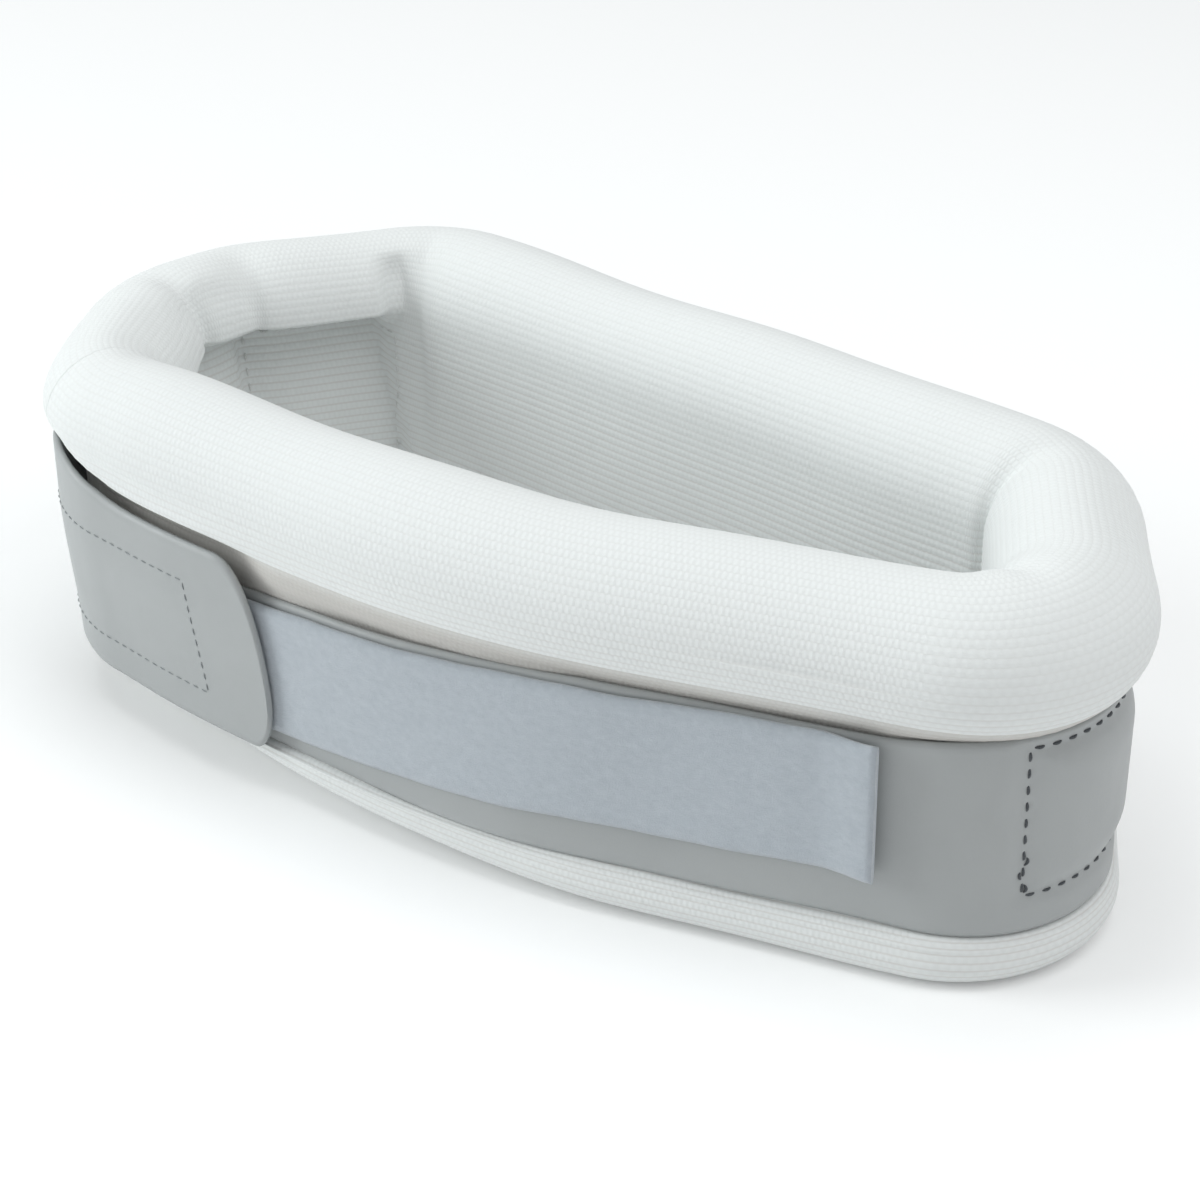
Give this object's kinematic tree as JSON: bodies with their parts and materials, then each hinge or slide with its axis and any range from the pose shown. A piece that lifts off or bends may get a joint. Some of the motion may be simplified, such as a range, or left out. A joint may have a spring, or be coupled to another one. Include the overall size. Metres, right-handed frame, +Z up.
{
  "type": "cervical collar",
  "caption": "Soft foam cervical collar in a ribbed knit cover, with a vinyl band and a hook and loop closure that wraps round the near left corner.",
  "frame": {"origin": "centre of the whole collar's box in plan, at the floor that its bottom roll stands on", "axes": "+Z up towards the chin edge, +X along the long far wall, the near wall with the closure faces -Y"},
  "size_m": [0.2531, 0.1267, 0.08],
  "materials": {
    "foam": "open-cell flexible foam, matt",
    "knitted_cover": "ribbed cotton stockinette, matt, cool off-white",
    "band_vinyl": "soft calendered vinyl, satin, mid grey",
    "hook_tape": "woven hook fastener tape, grey",
    "loop_tape": "brushed loop fastener tape, blue-grey",
    "band_thread": "dark grey sewing thread",
    "cover_thread": "off-white sewing thread"
  },
  "bodies": {
    "main": {"foam_core_main": "foam", "cover_main": "knitted_cover", "band_main": "band_vinyl", "loop_tape": "loop_tape", "right_box_needle_thread": "band_thread", "right_box_bobbin_thread": "cover_thread", "back_box_needle_thread": "band_thread", "back_box_bobbin_thread": "cover_thread", "end_seam_main": "cover_thread"},
    "left_end": {"foam_core_left_end": "foam", "cover_left_end": "knitted_cover", "band_left_end": "band_vinyl", "end_seam_left_end": "cover_thread"},
    "tab": {"closure_tab": "band_vinyl", "hook_tape": "hook_tape", "hook_tape_thread": "band_thread"},
    "pull": {"pull_end": "band_vinyl"}
  },
  "joints": [
    {"name": "left_end_fold", "type": "hinge", "parent": "main", "child": "left_end", "pos_m": [-0.12298, 0.01404, 0], "axis": [0, 0, -1], "range_deg": [0, 45], "stiffness_Nm_per_rad": 0.3},
    {"name": "tab_peel", "type": "hinge", "parent": "left_end", "child": "tab", "pos_m": [-0.1156, -0.02829, 0], "axis": [0, 0, -1], "range_deg": [0, 100], "stiffness_Nm_per_rad": 0.01},
    {"name": "pull_end_lift", "type": "hinge", "parent": "tab", "child": "pull", "pos_m": [-0.047, -0.06068, 0], "axis": [0, 0, -1], "range_deg": [0, 60], "stiffness_Nm_per_rad": 0.001}
  ]
}
